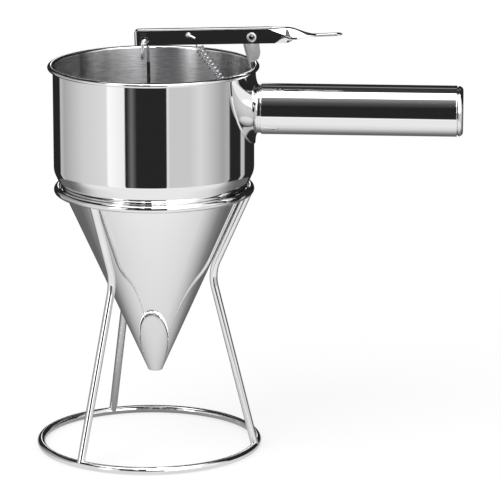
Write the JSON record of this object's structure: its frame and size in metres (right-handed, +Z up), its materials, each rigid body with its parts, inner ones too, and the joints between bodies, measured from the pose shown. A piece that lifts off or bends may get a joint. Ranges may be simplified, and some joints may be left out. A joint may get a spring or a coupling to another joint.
{
  "type": "pancake batter dispenser",
  "caption": "Steel funnel with a side handle and a spring-loaded lever valve over its outlet, resting in a bent-wire stand.",
  "frame": {"origin": "on the funnel's axis, level with the table that the stand's base ring rests on", "axes": "+Z up along the funnel's axis, +X along the handle away from the cup, +Y to the side of the lever away from the rod's hooked end"},
  "size_m": [0.2704, 0.1438, 0.2722],
  "materials": {
    "polished_steel": "mirror-polished stainless steel",
    "bracket_steel": "polished stainless steel",
    "lever_steel": "polished stainless steel with soft pressed edges",
    "spring_steel": "bright drawn spring wire",
    "rod_steel": "bright drawn wire and turned plug",
    "stand_wire": "polished bright wire"
  },
  "bodies": {
    "stand": {"stand_top_ring": "stand_wire", "stand_base_ring": "stand_wire", "stand_leg_1": "stand_wire", "stand_leg_2": "stand_wire", "stand_leg_3": "stand_wire"},
    "funnel": {"cup": "polished_steel", "cone": "polished_steel", "handle_socket": "polished_steel", "handle_collar": "polished_steel", "handle_tube": "polished_steel", "handle_end_cap": "polished_steel", "pivot_bracket": "bracket_steel", "pivot_rivet": "bracket_steel", "return_spring": "spring_steel"},
    "lever": {"lever": "lever_steel", "spring_pin": "bracket_steel"},
    "valve": {"valve_rod": "rod_steel", "valve_plug": "rod_steel"}
  },
  "joints": [
    {"name": "funnel_lift", "type": "slide", "parent": "stand", "child": "funnel", "axis": [0, 0, 1], "range_m": [0, 0.13]},
    {"name": "lever_press", "type": "hinge", "parent": "funnel", "child": "lever", "pos_m": [0.062, 0, 0.2664], "axis": [0, 1, 0], "range_deg": [0, 18], "stiffness_Nm_per_rad": 0.14, "springref_deg": -25.78, "deforming": ["return_spring"]},
    {"name": "rod_hang", "type": "hinge", "parent": "lever", "child": "valve", "pos_m": [-0.00464, -0.004, 0.26266], "axis": [0, 1, 0], "range_deg": [-20, 2]}
  ],
  "couplings": [
    {"joint": "rod_hang", "follows": "lever_press", "ratio": -1}
  ]
}
